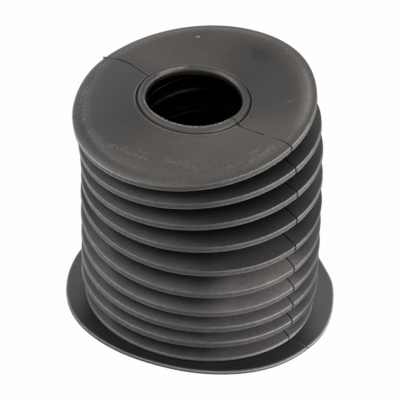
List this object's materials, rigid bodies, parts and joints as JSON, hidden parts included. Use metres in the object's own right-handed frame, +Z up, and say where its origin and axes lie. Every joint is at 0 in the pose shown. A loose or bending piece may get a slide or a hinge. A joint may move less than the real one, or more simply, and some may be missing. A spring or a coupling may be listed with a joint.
{
  "type": "rubber bellows boot",
  "caption": "Moulded rubber bellows boot with a thin base flange, deep round folds and an end disc with a beaded collar bore; covers and seals a rod, shaft or lever as it moves.",
  "frame": {"origin": "centre of the base flange's underside", "axes": "+Z up from the flange towards the end disc; the relaxed folds lean towards -X and nod towards -Y"},
  "size_m": [0.1164, 0.1152, 0.1082],
  "materials": {
    "rubber": "semi-matt moulded rubber, slightly scuffed"
  },
  "bodies": {
    "root": {"bellows_boot": "rubber"}
  },
  "joints": []
}
